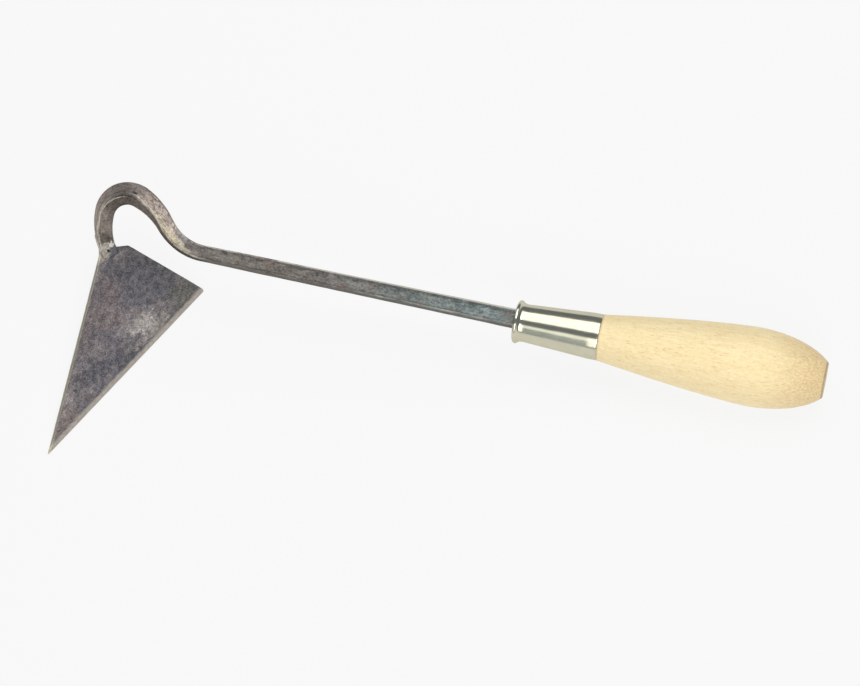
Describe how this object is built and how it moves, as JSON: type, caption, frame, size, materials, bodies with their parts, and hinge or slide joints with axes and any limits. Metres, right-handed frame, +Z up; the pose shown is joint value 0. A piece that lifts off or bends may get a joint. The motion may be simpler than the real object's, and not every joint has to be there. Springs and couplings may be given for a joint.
{
  "type": "gooseneck hand hoe",
  "caption": "Hand hoe with a triangular blade on a gooseneck square bar, a ferrule and a turned wooden handle, for cutting and drawing soil.",
  "frame": {"origin": "bottom centre of the bounding box, with the tool lying at rest on its handle's belly and its cutting edge", "axes": "+X along the tool from the blade towards the handle's butt, +Z up, away from the surface it lies on"},
  "size_m": [0.3458, 0.1174, 0.0583],
  "materials": {
    "blade_steel": "dark, blackened",
    "shank_steel": "forged, mill scale",
    "weld_metal": "rough, part ground",
    "plated_ferrule": "bright plated",
    "handle_wood": "plain, smooth sanded"
  },
  "bodies": {
    "root": {"blade": "blade_steel", "gooseneck_shank": "shank_steel", "weld_bead_face": "weld_metal", "weld_bead_back": "weld_metal", "ferrule": "plated_ferrule", "handle": "handle_wood"}
  },
  "joints": []
}
